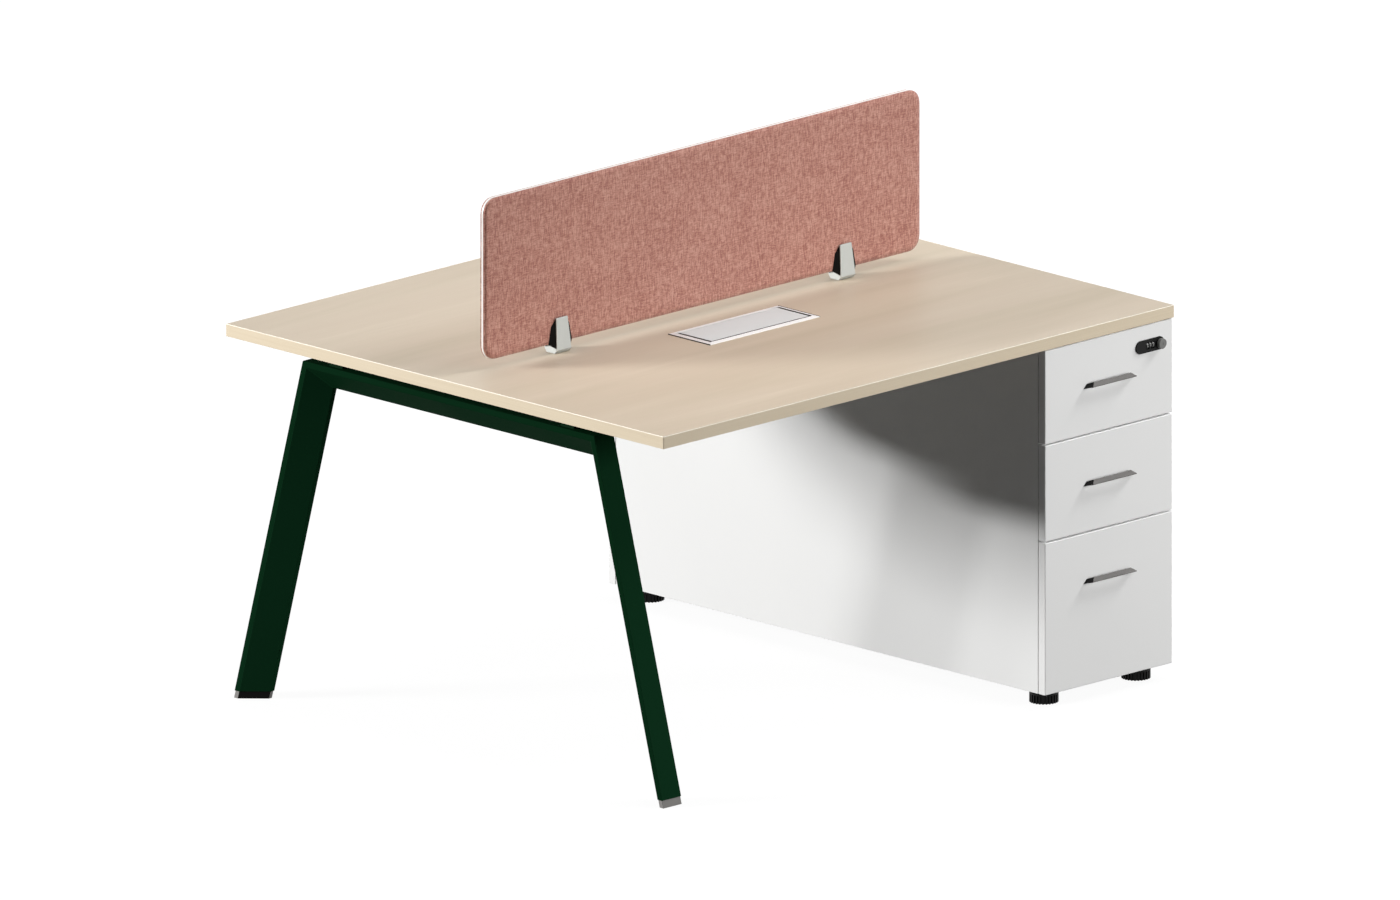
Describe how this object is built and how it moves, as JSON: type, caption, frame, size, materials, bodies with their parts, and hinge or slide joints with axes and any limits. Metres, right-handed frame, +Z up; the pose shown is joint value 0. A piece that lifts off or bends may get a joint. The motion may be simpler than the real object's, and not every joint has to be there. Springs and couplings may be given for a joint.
{
  "type": "two-person office desk",
  "caption": "Face-to-face desk: one shared top on a leaning metal leg frame and a two-sided drawer cabinet, with a clamped fabric screen and cable boxes.",
  "frame": {"origin": "on the floor, under the middle of the desk", "axes": "+Z up; +X along the desk towards the drawer cabinet; +Y across it, from the near user to the far user"},
  "size_m": [1.4, 1.232, 1.093],
  "materials": {
    "maple_board": "light maple melamine, satin",
    "maple_edge": "light maple edge band, satin",
    "green_steel": "dark green powder coat, satin",
    "grey_cap": "grey plastic, satin",
    "beam_steel": "dark green powder coat, satin",
    "zinc_steel": "zinc-plated steel",
    "white_plastic": "white plastic, satin",
    "screen_fabric": "dusty terracotta woven fabric",
    "white_trim": "white trim, satin",
    "silver_clamp": "satin silver",
    "black_rubber": "black rubber",
    "white_board": "white melamine-faced board, satin",
    "drawer_board": "white board, satin",
    "handle_metal": "grey painted zinc casting, satin",
    "black_plastic": "black plastic, satin",
    "knob_metal": "satin grey metal"
  },
  "bodies": {
    "desk": {"desktop": "maple_board", "desktop_edge_band": "maple_edge", "near_leg": "green_steel", "far_leg": "green_steel", "leg_crossbar": "green_steel", "leg_foot_caps": "grey_cap", "desk_beams": "beam_steel", "cable_box_frames": "white_plastic", "cable_box_tubs": "white_plastic", "screen_panel": "screen_fabric", "screen_edge_trim": "white_trim", "screen_clamps": "silver_clamp", "clamp_pads": "black_rubber", "cabinet_sides": "white_board", "cabinet_base": "white_board", "cabinet_top": "white_board", "cabinet_divider": "white_board", "runner_rails": "zinc_steel"},
    "near_bottom_drawer": {"near_bottom_drawer_front": "white_board", "near_bottom_drawer_box": "drawer_board", "near_bottom_drawer_runners": "zinc_steel", "near_bottom_handle": "handle_metal"},
    "near_middle_drawer": {"near_middle_drawer_front": "white_board", "near_middle_drawer_box": "drawer_board", "near_middle_drawer_runners": "zinc_steel", "near_middle_handle": "handle_metal"},
    "near_top_drawer": {"near_top_drawer_front": "white_board", "near_top_drawer_box": "drawer_board", "near_top_drawer_runners": "zinc_steel", "near_top_handle": "handle_metal", "near_lock_case": "black_plastic"},
    "near_cable_lid": {"near_cable_lid": "white_plastic"},
    "near_lock_knob": {"near_lock_knob": "knob_metal"},
    "near_lock_wheel_1": {"near_lock_wheel_1": "black_plastic"},
    "near_lock_wheel_2": {"near_lock_wheel_2": "black_plastic"},
    "near_lock_wheel_3": {"near_lock_wheel_3": "black_plastic"},
    "near_inner_foot": {"near_inner_foot": "black_plastic"},
    "near_outer_foot": {"near_outer_foot": "black_plastic"},
    "far_bottom_drawer": {"far_bottom_drawer_front": "white_board", "far_bottom_drawer_box": "drawer_board", "far_bottom_drawer_runners": "zinc_steel", "far_bottom_handle": "handle_metal"},
    "far_middle_drawer": {"far_middle_drawer_front": "white_board", "far_middle_drawer_box": "drawer_board", "far_middle_drawer_runners": "zinc_steel", "far_middle_handle": "handle_metal"},
    "far_top_drawer": {"far_top_drawer_front": "white_board", "far_top_drawer_box": "drawer_board", "far_top_drawer_runners": "zinc_steel", "far_top_handle": "handle_metal", "far_lock_case": "black_plastic"},
    "far_cable_lid": {"far_cable_lid": "white_plastic"},
    "far_lock_knob": {"far_lock_knob": "knob_metal"},
    "far_lock_wheel_1": {"far_lock_wheel_1": "black_plastic"},
    "far_lock_wheel_2": {"far_lock_wheel_2": "black_plastic"},
    "far_lock_wheel_3": {"far_lock_wheel_3": "black_plastic"},
    "far_inner_foot": {"far_inner_foot": "black_plastic"},
    "far_outer_foot": {"far_outer_foot": "black_plastic"}
  },
  "joints": [
    {"name": "near_bottom_drawer_slide", "type": "slide", "parent": "desk", "child": "near_bottom_drawer", "axis": [0, -1, 0], "range_m": [0, 0.38]},
    {"name": "near_middle_drawer_slide", "type": "slide", "parent": "desk", "child": "near_middle_drawer", "axis": [0, -1, 0], "range_m": [0, 0.38]},
    {"name": "near_top_drawer_slide", "type": "slide", "parent": "desk", "child": "near_top_drawer", "axis": [0, -1, 0], "range_m": [0, 0.38]},
    {"name": "near_cable_lid_hinge", "type": "hinge", "parent": "desk", "child": "near_cable_lid", "pos_m": [0, -0.078, 0.749], "axis": [-1, 0, 0], "range_deg": [0, 100]},
    {"name": "near_lock_knob_turn", "type": "hinge", "parent": "near_top_drawer", "child": "near_lock_knob", "pos_m": [0.659, -0.6068, 0.6815], "axis": [0, 1, 0], "range_deg": [0, 90]},
    {"name": "near_lock_wheel_1_spin", "type": "hinge", "parent": "near_top_drawer", "child": "near_lock_wheel_1", "pos_m": [0.6257, -0.5957, 0.6815], "axis": [1, 0, 0], "continuous": true},
    {"name": "near_lock_wheel_2_spin", "type": "hinge", "parent": "near_top_drawer", "child": "near_lock_wheel_2", "pos_m": [0.6335, -0.5957, 0.6815], "axis": [1, 0, 0], "continuous": true},
    {"name": "near_lock_wheel_3_spin", "type": "hinge", "parent": "near_top_drawer", "child": "near_lock_wheel_3", "pos_m": [0.6413, -0.5957, 0.6815], "axis": [1, 0, 0], "continuous": true},
    {"name": "near_inner_foot_slide", "type": "slide", "parent": "desk", "child": "near_inner_foot", "axis": [0, 0, -1], "range_m": [0, 0.015]},
    {"name": "near_outer_foot_slide", "type": "slide", "parent": "desk", "child": "near_outer_foot", "axis": [0, 0, -1], "range_m": [0, 0.015]},
    {"name": "far_bottom_drawer_slide", "type": "slide", "parent": "desk", "child": "far_bottom_drawer", "axis": [0, 1, 0], "range_m": [0, 0.38]},
    {"name": "far_middle_drawer_slide", "type": "slide", "parent": "desk", "child": "far_middle_drawer", "axis": [0, 1, 0], "range_m": [0, 0.38]},
    {"name": "far_top_drawer_slide", "type": "slide", "parent": "desk", "child": "far_top_drawer", "axis": [0, 1, 0], "range_m": [0, 0.38]},
    {"name": "far_cable_lid_hinge", "type": "hinge", "parent": "desk", "child": "far_cable_lid", "pos_m": [0, 0.078, 0.749], "axis": [1, 0, 0], "range_deg": [0, 100]},
    {"name": "far_lock_knob_turn", "type": "hinge", "parent": "far_top_drawer", "child": "far_lock_knob", "pos_m": [0.385, 0.6068, 0.6815], "axis": [0, -1, 0], "range_deg": [0, 90]},
    {"name": "far_lock_wheel_1_spin", "type": "hinge", "parent": "far_top_drawer", "child": "far_lock_wheel_1", "pos_m": [0.4183, 0.5957, 0.6815], "axis": [1, 0, 0], "continuous": true},
    {"name": "far_lock_wheel_2_spin", "type": "hinge", "parent": "far_top_drawer", "child": "far_lock_wheel_2", "pos_m": [0.4105, 0.5957, 0.6815], "axis": [1, 0, 0], "continuous": true},
    {"name": "far_lock_wheel_3_spin", "type": "hinge", "parent": "far_top_drawer", "child": "far_lock_wheel_3", "pos_m": [0.4027, 0.5957, 0.6815], "axis": [1, 0, 0], "continuous": true},
    {"name": "far_inner_foot_slide", "type": "slide", "parent": "desk", "child": "far_inner_foot", "axis": [0, 0, -1], "range_m": [0, 0.015]},
    {"name": "far_outer_foot_slide", "type": "slide", "parent": "desk", "child": "far_outer_foot", "axis": [0, 0, -1], "range_m": [0, 0.015]}
  ]
}
